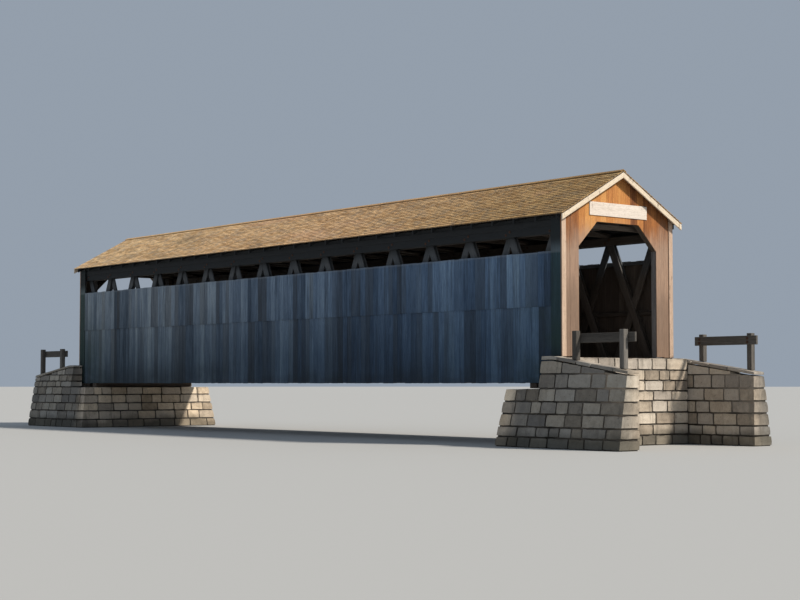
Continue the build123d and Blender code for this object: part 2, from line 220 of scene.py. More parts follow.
def slab(batch, place, outline, depths, rng, tone=None, slots=(0, 0), tilt=0.0, edge=board_edge):
    """A board with its front edges chamfered. The counterclockwise outline is in width and
    length, depths are those of its back and front, place turns width, depth and length into
    a point, slots are for its front and back, and tilt turns its front a little."""
    back, front = depths
    outline = [Vector(point) for point in outline]
    shoulder = front - math.copysign(edge, front - back)
    rings = [(outline, back), (outline, shoulder), (inset(outline, edge), front)]
    middle = sum(point.x for point in outline) / len(outline)
    local = []
    for ring, depth in rings:
        lean = 0.0 if depth == back else tilt
        local += [(u, depth + lean * (u - middle), l) for u, l in ring]
    faces = ring_faces(len(outline))
    tone = rng.random() if tone is None else tone
    points = [place(*corner) for corner in local]
    face_slots = [slots[1]] + [slots[0]] * (len(faces) - 1)
    batch.add(points, faces, np.array(local) + random_shift(rng), tone, face_slots)


def rectangle(u_range, l_range, skew=0.0):
    """A board's outline, whose lower end may be cut a little out of square."""
    (u0, u1), (l0, l1) = u_range, l_range
    return [(u0, l0), (u1, l0 + skew), (u1, l1), (u0, l1)]


def narrowed(span, gap):
    """A span less half a gap at each end."""
    return (span[0] + gap / 2, span[1] - gap / 2)


def stray(rng, reach):
    """A random number from minus reach to reach."""
    return rng.uniform(-reach, reach)


def random_shift(rng):
    """A grain shift that keeps two pieces from looking alike."""
    return np.array([stray(rng, shift_reach) for _ in range(3)])


def spans(start, end, sizes, rng):
    """Random lengths within a range of sizes that fill the way from start to end."""
    low, high = sizes
    lengths = []
    while sum(lengths) < end - start - (low + high) / 2:
        lengths.append(rng.uniform(low, high))
    lengths = lengths or [end - start]
    scale = (end - start) / sum(lengths)
    place = start
    made = []
    for length in lengths:
        made.append((place, place + length * scale))
        place += length * scale
    return made


def grouped_tones(count, rng, spread=0.25):
    """Tones that differ more between groups of neighbours than within them."""
    tones = []
    while len(tones) < count:
        base = rng.random()
        for _ in range(rng.randint(*group_sizes)):
            tones.append(min(1.0, max(0.0, base + stray(rng, spread))))
    return tones[:count]


# Timbers, copied from the frame's solids with worn edges

worn_edge = 0.01
merge_distance = 1e-5
flat_angle = math.radians(0.5)
side_face_limit = 0.3


def islands(work):
    """The separate solids of an edit mesh, as lists of vertices."""
    seen = set()
    groups = []
    for start in work.verts:
        if start in seen:
            continue
        seen.add(start)
        group = [start]
        for vertex in group:
            for link in vertex.link_edges:
                other = link.other_vert(vertex)
                if other not in seen:
                    seen.add(other)
                    group.append(other)
        groups.append(group)
    return groups


def grain_axes(group):
    """Width, thickness and length directions of one timber. Lists keep the edges and faces
    in the same order each run, so that equals are always chosen alike."""
    edges = [link for vertex in group for link in vertex.link_edges]
    longest = max(edges, key=lambda link: link.calc_length())
    length = (longest.verts[1].co - longest.verts[0].co).normalized()
    faces = [face for vertex in group for face in vertex.link_faces]
    long_faces = [face for face in faces if abs(face.normal.dot(length)) < side_face_limit]
    largest = max(long_faces, key=lambda face: face.calc_area())
    thickness = (largest.normal - length * largest.normal.dot(length)).normalized()
    return Matrix((length.cross(thickness), thickness, length))


def dressed(node, material, edge=worn_edge):
    """A copy of a node's solids with worn edges and with each timber's own grain."""
    work = bmesh.new()
    work.from_mesh(frame["nodes"][node].data)
    bmesh.ops.remove_doubles(work, verts=work.verts, dist=merge_distance)
    bmesh.ops.dissolve_limit(work, angle_limit=flat_angle, verts=work.verts, edges=work.edges)
    edges = list(work.edges)
    bmesh.ops.bevel(work, geom=edges, offset=edge, segments=1, affect="EDGES", clamp_overlap=True)
    work.verts.index_update()
    work.normal_update()
    rng = random.Random(node)
    grain = np.zeros((len(work.verts), 3))
    tone = np.zeros(len(work.verts))
    for group in islands(work):
        axes = grain_axes(group)
        shift = random_shift(rng)
        shade = rng.random()
        for vertex in group:
            grain[vertex.index] = np.array(axes @ vertex.co) + shift
            tone[vertex.index] = shade
    name = f"{node}_finish"
    mesh = bpy.data.meshes.new(name)
    work.to_mesh(mesh)
    work.free()
    set_grain(mesh, grain, tone)
    add_piece(mesh, name, [material], [node])


# Materials


class Graph:
    """A material's nodes, made one by one."""

    def __init__(self, name):
        self.material = bpy.data.materials.new(name)
        self.material.use_nodes = True
        self.tree = self.material.node_tree
        self.shader = self.tree.nodes["Principled BSDF"]
        self.colour, self.streaks = None, None

    def put(self, socket, value):
        """Links a node's output to a socket, or sets the socket's own value."""
        if isinstance(value, bpy.types.NodeSocket):
            self.tree.links.new(value, socket)
        elif isinstance(value, tuple) and socket.type == "RGBA":
            socket.default_value = (*value, 1.0)
        else:
            socket.default_value = value

    def node(self, kind, inputs=None, **settings):
        """A new node. Its inputs are other nodes' outputs or plain values."""
        made = self.tree.nodes.new("ShaderNode" + kind)
        for key, value in settings.items():
            setattr(made, key, value)
        for key, value in (inputs or {}).items():
            self.put(made.inputs[key], value)
        return made

    def math(self, operation, first, second=0.0, clamp=False):
        settings = {"operation": operation, "use_clamp": clamp}
        return self.node("Math", {0: first, 1: second}, **settings).outputs[0]

    def times(self, first, second):
        return self.math("MULTIPLY", first, second)

    def plus(self, first, second, clamp=False):
        return self.math("ADD", first, second, clamp)

    def absolute(self, value):
        return self.math("ABSOLUTE", value)

    def centred(self, value, share):
        """A value from 0 to 1, moved to lie about 0 and scaled."""
        return self.times(self.math("SUBTRACT", value, 0.5), share)

    def scaled(self, vector, scale):
        made = self.node("VectorMath", {0: vector, 1: scale}, operation="MULTIPLY")
        return made.outputs[0]

    def noise(self, vector, scale, detail=4.0, roughness=0.6, distortion=0.0):
        names = ("Vector", "Scale", "Detail", "Roughness", "Distortion")
        inputs = dict(zip(names, (vector, scale, detail, roughness, distortion)))
        return self.node("TexNoise", inputs).outputs["Fac"]

    def ramp(self, value, stops):
        """Colours at places from 0 to 1. A stop is a place and its colour."""
        made = self.node("ValToRGB", {"Fac": value})
        elements = made.color_ramp.elements
        while len(elements) < len(stops):
            elements.new(0.5)
        for element, (place, colour) in zip(elements, stops):
            element.position = place
            element.color = (*colour, 1.0)
        return made.outputs["Color"]

    def mix(self, share, first, second, blend="MIX"):
        inputs = {0: share, 6: first, 7: second}
        return self.node("Mix", inputs, data_type="RGBA", blend_type=blend).outputs[2]

    def shade(self, shade, share=1.0):
        """Multiplies the surface's colour by another one."""
        self.colour = self.mix(share, self.colour, shade, "MULTIPLY")

    def cover(self, mask, share, tone):
        """Lays a share of a tone over the surface's colour, where the mask is 1."""
        self.colour = self.mix(self.times(mask, share), self.colour, tone)

    def between(self, value, low, high):
        """0 at low, 1 at high and smooth between; low may be the larger."""
        inputs = {"Value": value, 1: low, 2: high, 3: 0.0, 4: 1.0}
        made = self.node("MapRange", inputs, interpolation_type="SMOOTHSTEP")
        return made.outputs["Result"]

    def grain(self):
        return self.node("Attribute", attribute_name="grain").outputs["Vector"]

    def tone(self):
        return self.node("Attribute", attribute_name="tone").outputs["Fac"]

    def second_tone(self):
        """Another number from 0 to 1 for each piece, worked out from its tone."""
        wave = self.math("SINE", self.times(self.tone(), 47.0))
        return self.plus(self.times(wave, 0.5), 0.5)

    def spot(self):
        """The place on the bridge, in metres."""
        return self.node("TexCoord").outputs["Object"]

    def place(self):
        """The three parts of the place on the bridge, in metres."""
        return tuple(self.node("SeparateXYZ", {0: self.spot()}).outputs)

    def patches(self, scale, detail=4.0, roughness=0.6):
        """Noise by the place on the bridge, with its own scale along each axis."""
        return self.noise(self.scaled(self.spot(), scale), 1.0, detail, roughness)

    def finish(self, roughness, height, depth, specular=0.25):
        """The finished material. height and depth are those of its bumps."""
        self.put(self.shader.inputs["Base Color"], self.colour)
        self.put(self.shader.inputs["Roughness"], roughness)
        self.put(self.shader.inputs["Specular IOR Level"], specular)
        bump = self.node("Bump", {"Strength": 1.0, "Distance": depth, "Height": height})
        self.put(self.shader.inputs["Normal"], bump.outputs["Normal"])
        return self.material


def tones(*colours, places=(0.0, 0.5, 1.0)):
    """The stops of a ramp from dark to light."""
    return list(zip(places, colours))


white = (1.0, 1.0, 1.0)
grey_shade = tones((0.35, 0.35, 0.35), (0.85, 0.85, 0.85), white, places=(0.0, 0.55, 1.0))
four_places = (0.0, 0.35, 0.65, 1.0)
five_places = (0.0, 0.3, 0.55, 0.8, 1.0)

# Noise scales across, across and along the grain
broad_scale = (3.0, 3.0, 0.35)
streak_scale = (9.0, 9.0, 0.35)
fibre_scale = (60.0, 60.0, 1.6)
knot_scale = (4.0, 4.0, 1.6)
knot_brown = (0.025, 0.016, 0.011)

# How far the wheel tracks lie from the middle of the deck
wheel_track = 0.78


def wood(name, stops, tone_share, accent=None, weather=None, depth=0.003, rough=0.82):
    """Old wood. stops are its colours from dark to light, some pieces take a share of the
    accent, and weather, if given, changes the colour by the place on the bridge, with wear
    and with painted light and shade."""
    graph = Graph(name)
    grain = graph.grain()
    broad = graph.noise(graph.scaled(grain, broad_scale), 1.5, 3.0)
    graph.streaks = graph.noise(graph.scaled(grain, streak_scale), 4.0, 5.0, 0.65, 0.4)
    fibres = graph.noise(graph.scaled(grain, fibre_scale), 3.0, 4.0, 0.7, 0.2)
    value = graph.plus(graph.times(graph.tone(), tone_share), (1 - tone_share) / 2)
    value = graph.plus(value, graph.centred(broad, 0.55))
    value = graph.plus(value, graph.centred(graph.streaks, 0.75), clamp=True)
    graph.colour = graph.ramp(value, stops)
    if accent:
        graph.cover(graph.between(graph.second_tone(), 0.55, 0.95), 0.45, accent)
    cracks = graph.between(fibres, 0.36, 0.56)
    graph.shade(graph.ramp(cracks, grey_shade), 0.55)
    knots = graph.node("TexVoronoi", {"Vector": graph.scaled(grain, knot_scale)})
    knots = graph.between(knots.outputs["Distance"], 0.1, 0.05)
    graph.cover(knots, 0.6, knot_brown)
    if weather:
        weather(graph)
    roughness = graph.plus(graph.times(fibres, 0.2), rough - 0.1)
    bumps = graph.plus(cracks, graph.times(graph.streaks, 0.8))
    height = graph.plus(bumps, graph.times(knots, -0.5))
    return graph.finish(roughness, height, depth)


def siding_weather_and_painted_shade(graph):
    """Boards with painted shade that darkens them towards their foot, and darker towards the
    east end, with rain and splash marks and a green tinge near the portals. They are pale along
    their upper edge, and painted shadow of the eaves makes what stands higher nearly black."""
    x, _, z = graph.place()
    patches = graph.patches((0.22, 0.22, 0.5))
    graph.shade(graph.mix(graph.between(x, -14.0, 13.0), (1.0, 0.98, 0.88), (0.58, 0.75, 0.88)))
    # Painted shade: the boards grow darker towards their foot
    height = graph.plus(z, graph.centred(patches, 1.6))
    graph.shade(graph.mix(graph.between(height, 6.2, 2.2), white, (0.4, 0.46, 0.5)))
    foot = graph.times(graph.between(z, 3.2, 1.95), graph.between(patches, 0.32, 0.62))
    graph.cover(foot, 0.6, (0.012, 0.018, 0.022))
    runs = graph.between(graph.patches((7.0, 7.0, 0.25), 4.0, 0.7), 0.52, 0.68)
    graph.cover(runs, 0.45, (0.022, 0.03, 0.04))
    near_end = graph.between(graph.absolute(x), 12.0, 15.0)
    moss = graph.times(near_end, graph.between(patches, 0.36, 0.6))
    moss = graph.times(moss, graph.between(z, 6.5, 3.0))
    graph.cover(moss, 0.6, (0.022, 0.048, 0.044))
    edge = graph.between(z, upper_high.z - 0.1, upper_high.z - 0.02)
    graph.cover(edge, 0.3, (0.24, 0.27, 0.3))
    # Painted shadow of the eaves, nearly black, over what stands above the side boards
    painted_eave_shadow = graph.between(z, upper_high.z - 0.05, upper_high.z + 0.4)
    graph.cover(painted_eave_shadow, 0.9, (0.01, 0.013, 0.014))


def frame_weather_and_painted_light(graph):
    """Timber gone grey where the weather comes in over the side boards, with painted sky light
    there too, and painted shade under the eaves that makes it nearly black above that."""
    _, y, z = graph.place()
    outside = graph.between(graph.absolute(y), 2.05, 2.3)
    # Grey of the weather, with painted sky light, just above the side boards
    bleached = graph.times(outside, graph.between(z, 5.2, 5.9))
    pale = graph.mix(graph.streaks, (0.03, 0.038, 0.046), (0.15, 0.172, 0.19))
    graph.cover(bleached, 0.75, pale)
    # Painted shade under the eaves, nearly black
    dark = graph.times(outside, graph.between(z, 6.1, 6.6))
    graph.cover(dark, 0.85, (0.011, 0.013, 0.015))


def portal_weather(graph):
    """Orange brown under the shelter of the roof, bleached further down, and a little
    darker again towards the foot."""
    _, _, z = graph.place()
    height = graph.plus(z, graph.times(graph.patches((1.4, 1.4, 0.5)), 1.8))
    pale = graph.mix(graph.streaks, (0.17, 0.112, 0.08), (0.5, 0.365, 0.275))
    graph.cover(graph.between(height, 8.0, 6.9), 0.8, pale)
    graph.cover(graph.between(height, 6.3, 5.2), 0.5, (0.13, 0.088, 0.062))


def paint_weather(graph):
    """Thin paint that has come off in places along the grain."""
    worn = graph.between(graph.patches((6.0, 6.0, 2.2), 6.0, 0.75), 0.56, 0.67)
    graph.cover(worn, 0.65, (0.16, 0.115, 0.08))


def shingle_weather_and_painted_sheen(graph):
    """A painted sheen, paler towards the west end and darker towards the east, with darker
    stretches across the roof and dark runs down the slope."""
    patches = graph.patches((0.3, 0.9, 0.9), 5.0)
    x = graph.plus(graph.place()[0], graph.centred(patches, 8.0))
    # Painted sheen: paler towards the west end, darker towards the east
    along = graph.mix(graph.between(x, -16.0, 2.0), (1.28, 1.27, 1.2), (1.12, 1.04, 0.95))
    along = graph.mix(graph.between(x, 1.0, 16.0), along, (0.65, 0.59, 0.43))
    graph.shade(along)
    graph.cover(graph.between(patches, 0.5, 0.72), 0.45, (0.64, 0.39, 0.25))
    graph.cover(graph.between(patches, 0.47, 0.27), 0.55, (0.22, 0.155, 0.092))
    runs = graph.between(graph.patches((5.0, 0.35, 0.35), 4.0, 0.7), 0.55, 0.7)
    graph.cover(runs, 0.35, (0.14, 0.105, 0.075))


def deck_weather(graph):
    """Two paler wheel tracks, with dust and dirt beside them."""
    _, y, _ = graph.place()
    ragged = graph.centred(graph.patches((0.8, 3.0, 1.0)), 0.5)
    off_track = graph.absolute(graph.math("SUBTRACT", graph.absolute(y), wheel_track))
    track = graph.between(graph.plus(off_track, ragged), 0.45, 0.12)
    graph.cover(track, 0.5, (0.3, 0.265, 0.22))
    side = graph.between(graph.plus(graph.absolute(y), ragged), 1.45, 1.95)
    graph.cover(side, 0.6, (0.06, 0.048, 0.038))


# Painted sky light and shade: the side boards are darker and bluer than their weathered grey wood
siding_tones_with_painted_skylight = tones(
    (0.025, 0.038, 0.06),
    (0.084, 0.119, 0.18),
    (0.174, 0.226, 0.318),
    (0.31, 0.372, 0.47),
    (0.46, 0.515, 0.59),
    places=five_places,
)
portal_tones = tones(
    (0.15, 0.052, 0.018),
    (0.4, 0.155, 0.048),
    (0.56, 0.248, 0.072),
    (0.67, 0.36, 0.13),
    places=(0.0, 0.3, 0.6, 1.0),
)
frame_tones = tones(
    (0.024, 0.019, 0.015),
    (0.066, 0.051, 0.04),
    (0.116, 0.092, 0.074),
    (0.212, 0.178, 0.148),
    places=four_places,
)
shingle_tones = tones(
    (0.28, 0.175, 0.092),
    (0.505, 0.328, 0.172),
    (0.65, 0.446, 0.248),
    (0.73, 0.53, 0.315),
    (0.78, 0.61, 0.41),
    places=five_places,
)
stone_tones = tones(
    (0.165, 0.134, 0.105),
    (0.35, 0.29, 0.224),
    (0.53, 0.45, 0.355),
    (0.7, 0.62, 0.51),
    places=four_places,
)
corner_tones = tones((0.012, 0.022, 0.022), (0.052, 0.084, 0.09), (0.13, 0.18, 0.19))
inner_tones = tones((0.028, 0.02, 0.016), (0.105, 0.078, 0.06), (0.23, 0.185, 0.148))
post_tones = tones((0.08, 0.074, 0.073), (0.22, 0.206, 0.203), (0.4, 0.378, 0.37))
deck_tones = tones((0.05, 0.04, 0.032), (0.15, 0.125, 0.1), (0.29, 0.255, 0.215))
paint_tones = tones((0.3, 0.205, 0.15), (0.53, 0.385, 0.285), (0.7, 0.54, 0.42))
rake_tones = tones((0.46, 0.37, 0.27), (0.72, 0.61, 0.47), (0.84, 0.76, 0.63))
sign_tones = tones((0.48, 0.41, 0.34), (0.68, 0.6, 0.52), (0.8, 0.74, 0.67))
rail_tones = tones((0.036, 0.032, 0.028), (0.11, 0.1, 0.089), (0.25, 0.235, 0.215))
mortar_tones = tones((0.045, 0.039, 0.033), (0.13, 0.115, 0.098), places=(0.3, 0.7))
rust_tones = tones((0.04, 0.024, 0.018), (0.12, 0.052, 0.03), places=(0.35, 0.7))


def stone(name):
    """Rough cut stone, warm and grey by turns, paler with painted light on the faces towards the
    river, darker with painted shade on the outer sides, and darker with damp near the foot."""
    graph = Graph(name)
    grain = graph.grain()
    clouds = graph.noise(grain, 3.5, 6.0, 0.65, 0.5)
    grit = graph.noise(grain, 45.0, 4.0, 0.7)
    pits = graph.noise(grain, 14.0, 5.0, 0.7)
    value = graph.plus(graph.times(graph.tone(), 0.62), 0.19)
    value = graph.plus(value, graph.centred(clouds, 0.8), clamp=True)
    graph.colour = graph.ramp(value, stone_tones)
    cool = graph.between(graph.second_tone(), 0.45, 0.95)
    graph.cover(cool, 0.55, graph.mix(0.6, graph.colour, (0.27, 0.27, 0.275)))
    graph.shade(graph.ramp(graph.between(grit, 0.3, 0.55), grey_shade), 0.45)
    holes = graph.between(pits, 0.42, 0.3)
    graph.cover(holes, 0.5, (0.085, 0.07, 0.056))
    stone_weather_and_painted_light(graph)
    rough = graph.plus(graph.times(grit, 0.2), 0.75)
    height = graph.plus(graph.times(grit, 0.3), graph.plus(clouds, graph.times(holes, -0.4)))
    return graph.finish(rough, height, 0.012)


def stone_weather_and_painted_light(graph):
    """Painted light on the faces towards the river and painted shade on the outer sides, with
    rain runs and damp near the foot, by the place on the bridge.
    """
    x, y, z = graph.place()
    # Painted shade on the outer sides, and painted light on the faces towards the river
    painted_side_shade = graph.between(graph.absolute(y), 2.5, 3.2)
    exposure = graph.mix(painted_side_shade, white, (0.6, 0.64, 0.68))
    painted_river_light = graph.between(graph.absolute(x), 14.2, 13.5)
    graph.shade(graph.mix(painted_river_light, exposure, (1.35, 1.3, 1.22)))
    runs = graph.between(graph.patches((3.0, 3.0, 0.35), 5.0, 0.7), 0.54, 0.7)
    graph.cover(runs, 0.5, (0.095, 0.085, 0.072))
    edge = graph.times(graph.patches((0.8, 0.8, 0.8), 5.0), -0.7)
    damp = graph.between(graph.plus(z, edge), 0.25, -0.15)
    graph.cover(damp, 0.7, (0.05, 0.047, 0.034))


def mortar(name):
    """Lime mortar in the joints, dark with damp."""
    graph = Graph(name)
    grit = graph.patches((60.0, 60.0, 60.0), 3.0)
    graph.colour = graph.ramp(graph.patches((2.0, 2.0, 2.0), 6.0), mortar_tones)
    rough = graph.plus(graph.times(grit, 0.1), 0.85)
    return graph.finish(rough, grit, 0.006)


def iron(name):
    """Rusted iron of the bolts and washers."""
    graph = Graph(name)
    rust = graph.patches((40.0, 40.0, 40.0), 6.0, 0.7)
    graph.colour = graph.ramp(rust, rust_tones)
    rough = graph.plus(graph.times(rust, 0.4), 0.45)
    graph.shader.inputs["Metallic"].default_value = 0.4
    return graph.finish(rough, rust, 0.002, 0.5)


# Side boards

board_gap = 0.0012
side_board_widths = (0.21, 0.32)
end_board_widths = (0.19, 0.26)
own_tone = 0.28
nail_radius = 0.0065
nail_height = 0.003
nail_sunk = 0.0005
nail_places = (0.22, 0.78)
nails_under_lap = 0.06
nails_over_lap = 0.035
nails_under_top = 0.09


def right_side(u, v, l):
    """Width along the bridge, depth outwards across it, length upwards."""
    return (u, v, l)


def nail_pair(batch, span, level, depth, tilt, rng):
    """The heads of two nails that hold a side board at one level."""
    start, end = span
    for share in nail_places:
        u = start + (end - start) * (share + stray(rng, 0.04))
        y = depth + tilt * (u - (start + end) / 2) - nail_sunk
        place = (u, y, level + stray(rng, 0.012))
        prism(batch, place, 1, nail_radius, nail_height, rng, corners=6)


def side_board(batch, span, low, high, group_tone, rng):
    """One board of a row. Returns the depth and the tilt of its face."""
    tone = (1 - own_tone) * group_tone + own_tone * rng.random()
    foot = low.z + rng.uniform(0.0, 0.018)
    head = high.z - rng.uniform(0.0, 0.016)
    skew = rng.uniform(0.0, 0.008)
    depth = high.y - rng.uniform(0.002, 0.006)
    tilt = stray(rng, 0.012)
    outline = rectangle(narrowed(span, board_gap), (foot, head), skew)
    slab(batch, right_side, outline, (low.y, depth), rng, tone, (0, 1), tilt)
    return depth, tilt


def side_walls(outer, inner, metal):
    """Two rows of vertical boards on each side, whose tones keep together in groups, with
    the nails that hold them to the girts and the lower chord behind."""
    chord_level = (foot_chord_low.z + foot_chord_high.z) / 2
    lower_levels = (chord_level, upper_low.z - nails_under_lap)
    upper_levels = (upper_low.z + nails_over_lap, upper_high.z - nails_under_top)
    rows = (
        ("lower_siding", lower_low, lower_high, lower_levels),
        ("upper_siding", upper_low, upper_high, upper_levels),
    )
    for side, half_turn in sides:
        rng = random.Random(f"{side} boards")
        nail_rng = random.Random(f"{side} nails")
        nails = Batch()
        boards = spans(lower_low.x, lower_high.x, side_board_widths, rng)
        shared = grouped_tones(len(boards), rng)
        for row, low, high, levels in rows:
            batch = Batch()
            for span, group_tone in zip(boards, shared):
                depth, tilt = side_board(batch, span, low, high, group_tone, rng)
                for level in levels:
                    nail_pair(nails, span, level, depth, tilt, nail_rng)
            node = f"{side}_{row}"
            batch.make(f"{node}_boards", [outer, inner], [node], half_turn)
        nails.make(f"{side}_nails", [metal], half_turn=half_turn)


def roof_under(y, depth):
    """The height of a plane that lies depth under the roof's surface, at y."""
    return shingle_high.z - math.tan(roof_pitch) * abs(y) - depth / math.cos(roof_pitch)


def end_boards(outer, inner):
    """The full-height boards beside the portals, cut to the rafters' slope."""
    batch = Batch()
    rng = random.Random("end boards")
    length = end_high.x - upper_high.x
    top = roof_under(end_high.y, shingle_layer + sheathing_thickness + rafter_depth)
    depths = (upper_low.y, upper_high.y - 0.002)
    for x_sign in (1, -1):
        for y_sign in (1, -1):

            def place(u, v, l):
                return (x_sign * (upper_high.x + u), y_sign * v, l)

            for span in spans(0.0, length, end_board_widths, rng):
                foot = end_low.z + rng.uniform(0.0, 0.016)
                tone = rng.uniform(0.1, 0.7)
                outline = rectangle(narrowed(span, board_gap), (foot, top))
                slab(batch, place, outline, depths, rng, tone, (0, 1))
    batch.make("end_boards_finish", [outer, inner], ["end_boards"])


# Portal boards

portal_board_widths = (0.2, 0.3)


def opening_edge(y):
    """The height of the opening's upper edge at y."""
    fall = max(0.0, abs(y) - (opening_half - chamfer_run))
    return opening_top - fall * chamfer_rise / chamfer_run


def portal_outline(low, high, rng):
    """A portal board between two places across the bridge, over or beside the opening."""
    corner = opening_half - chamfer_run
    if abs(low + high) / 2 < opening_half:
        turns = [turn for turn in (-corner, corner) if low < turn < high]
        foot = [(y, opening_edge(y)) for y in (low, *turns, high)]
    else:
        foot_level = portal_low.z + rng.uniform(0.0, 0.02)
        foot = [(low, foot_level), (high, foot_level)]
    ridge = [0.0] if low < 0.0 < high else []
    depth = shingle_layer + sheathing_thickness
    head = [(y, roof_under(y, depth)) for y in (high, *ridge, low)]
    return foot + head


def portal_boards(outer, inner):
    """Vertical boards cut to the roof's slope and round the opening, at both ends."""
    batch = Batch()
    rng = random.Random("portal boards")
    edges = (-portal_high.y, -opening_half, opening_half, portal_high.y)
    for x_sign in (1, -1):

        def place(u, v, l):
            return (x_sign * v, u, l)

        boards = []
        for start, end in zip(edges, edges[1:]):
            boards += spans(start, end, portal_board_widths, rng)
        for span, tone in zip(boards, grouped_tones(len(boards), rng, spread=0.35)):
            outline = portal_outline(*narrowed(span, board_gap), rng)
            face = portal_high.x - rng.uniform(0.001, 0.004)
            tilt = stray(rng, 0.008)
            depths = (portal_high.x - board_thickness, face)
            slab(batch, place, outline, depths, rng, tone, (0, 1), tilt, edge=0.003)
    batch.make("portal_boards", [outer, inner], ["portal_walls"])


# Roof

shingle_exposure = 0.15
shingle_butt = 0.016
shingle_thin_end = 0.004
shingle_lap = 1.25
shingle_widths = (0.1, 0.26)
sheathing_widths = (0.17, 0.23)
sheathing_lengths = (3.2, 4.8)
ridge_clearance = 0.03


def slope_place(u, v, l):
    """Width along the ridge, depth out of the right slope, length up it from the eave."""
    sine, cosine = math.sin(roof_pitch), math.cos(roof_pitch)
    eave = shingle_high.z - math.tan(roof_pitch) * shingle_high.y
    return (u, shingle_high.y - cosine * l + sine * v, eave + sine * l + cosine * v)


def shingle(batch, u_range, l_range, top, rng, tone):
    """One split shingle: thick at its lower end, thin where the next course covers it."""
    (u0, u1), (l0, l1) = u_range, l_range
    skew = stray(rng, 0.006)
    curl = rng.uniform(0.0, 0.004)
    thinned = top - shingle_butt * (l1 - l0) / shingle_exposure
    head = max(thinned, shingle_thin_end - shingle_layer)
    local = [
        (u0, top - shingle_butt, l0),
        (u1, top - shingle_butt, l0 + skew),
        (u1, top - curl, l0 + skew),
        (u0, top, l0),
        (u0, -shingle_layer, l1),
        (u1, -shingle_layer, l1),
        (u1, head, l1),
        (u0, head, l1),
    ]
    faces = [(0, 1, 2, 3), (7, 6, 5, 4), (3, 2, 6, 7), (4, 5, 1, 0), (1, 5, 6, 2), (4, 0, 3, 7)]
    points = [slope_place(*corner) for corner in local]
    batch.add(points, faces, np.array(local) + random_shift(rng), tone)


def shingle_course(batch, course, exposure, rng):
    """One course of shingles up the slope. Course -1 is the starter course at the eave."""
    start = max(course, 0) * exposure
    end = min(start + exposure * shingle_lap, slope_length)
    drop = shingle_butt if course < 0 else 0.0
    places = spans(shingle_low.x, shingle_high.x, shingle_widths, rng)
    for span, tone in zip(places, grouped_tones(len(places), rng, spread=0.4)):
        ragged = rng.uniform(0.0, 0.012) if course else 0.003
        top = -drop - rng.uniform(0.0, 0.005)
        shingle(batch, narrowed(span, gap=0.004), (start + ragged, end), top, rng, tone)


def shingles(material):
    """Courses of shingles on both slopes, over a starter course."""
    courses = int(slope_length / shingle_exposure)
    for side, half_turn in sides:
        batch = Batch()
        rng = random.Random(f"{side} shingles")
        for course in range(-1, courses):
            shingle_course(batch, course, slope_length / courses, rng)
        batch.make(f"{side}_shingles", [material], [f"{side}_roof_shingles"], half_turn)


def sheathing(material):
    """Boards along the roof under the shingles, as they show from below."""

    def place(u, v, l):
        return slope_place(l, v, u)

    drip = (shingle_high.y - sheathing_high.y) / math.cos(roof_pitch)
    depths = (-shingle_layer, -shingle_layer - sheathing_thickness)
    ridge = slope_length - ridge_clearance
    for side, half_turn in sides:
        batch = Batch()
        rng = random.Random(f"{side} sheathing")
        for width in spans(drip, ridge, sheathing_widths, rng):
            for length in spans(sheathing_low.x, sheathing_high.x, sheathing_lengths, rng):
                outline = rectangle(narrowed(width, gap=0.01), narrowed(length, gap=0.006))
                slab(batch, place, outline, depths, rng, edge=0.002)
        node = f"{side}_roof_sheathing"
        batch.make(f"{side}_sheathing_boards", [material], [node], half_turn)


# Floor

plank_gap = 0.004
plank_widths = (0.2, 0.28)


def deck_planks(material):
    """Planks across the bridge."""
    batch = Batch()
    rng = random.Random("deck planks")

    def place(u, v, l):
        return (u, l, v)

    for span in spans(deck_low.x, deck_high.x, plank_widths, rng):
        reach = (deck_low.y + rng.uniform(0.0, 0.01), deck_high.y - rng.uniform(0.0, 0.01))
        top = deck_high.z - rng.uniform(0.002, 0.006)
        tilt = stray(rng, 0.008)
        outline = rectangle(narrowed(span, plank_gap), reach)
        slab(batch, place, outline, (deck_low.z, top), rng, tilt=tilt, edge=0.006)
    batch.make("deck_planks", [material], ["floor_deck"])


# Stonework

joint = 0.012
stone_edge = 0.024
smallest_stone = 2.5 * stone_edge
rock_face = 0.02
rough_stone = 0.016
coping_rough = 0.007
seat_rough = 0.006
bump_scale = 3.4
fine_cell = 0.1
coarse_cell = 0.3
slab_cells = (0.16, 0.16, 0.16)
core_inset = 0.062
core_foot = 0.5
core_overlap = 0.2
coping = 0.13
front_row = 0.55
seat_slab = 0.26
lowest_wing_stone = 0.09
courses_below_seat = 5
courses_above_seat = 3
backwall_courses = 8
ledge_courses = 2
side_stone_lengths = (0.4, 0.95)
wing_stone_lengths = (0.36, 0.85)
coping_lengths = (0.55, 0.95)
front_stone_lengths = (0.42, 0.95)
back_stone_lengths = (0.45, 0.95)
ledge_stone_lengths = (0.5, 0.9)
seat_slab_widths = (0.45, 0.6)
seat_slab_lengths = (0.7, 1.2)


@lru_cache(maxsize=None)
def shell(steps):
    """The corners and faces of a block whose sides are cut into steps. Corners are whole
    numbers of steps."""
    corners, faces = {}, []
    for axis in range(3):
        first, second = (axis + 1) % 3, (axis + 2) % 3
        for end, a, b in product((0, steps[axis]), range(steps[first]), range(steps[second])):
            face = []
            for da, db in ((0, 0), (1, 0), (1, 1), (0, 1)):
                key = [0, 0, 0]
                key[axis], key[first], key[second] = end, a + da, b + db
                face.append(corners.setdefault(tuple(key), len(corners)))
            faces.append(tuple(face if end else face[::-1]))
    return np.array(list(corners)), faces


def grid_lines(length, cell):
    """Cuts along one side of a stone, close to its edges and about a cell apart."""
    inner = max(1, round((length - 2 * stone_edge) / cell))
    middle = np.linspace(stone_edge, length - stone_edge, inner + 1)
    return np.concatenate([[0.0], middle, [length]])


def rounded(local, size):
    """Points on a box, moved onto the same box with rounded edges, and the way out at
    each of them."""
    nearest = np.clip(local, stone_edge, size - stone_edge)
    away = local - nearest
    normal = away / np.linalg.norm(away, axis=1)[:, None]
    return nearest + normal * stone_edge, normal


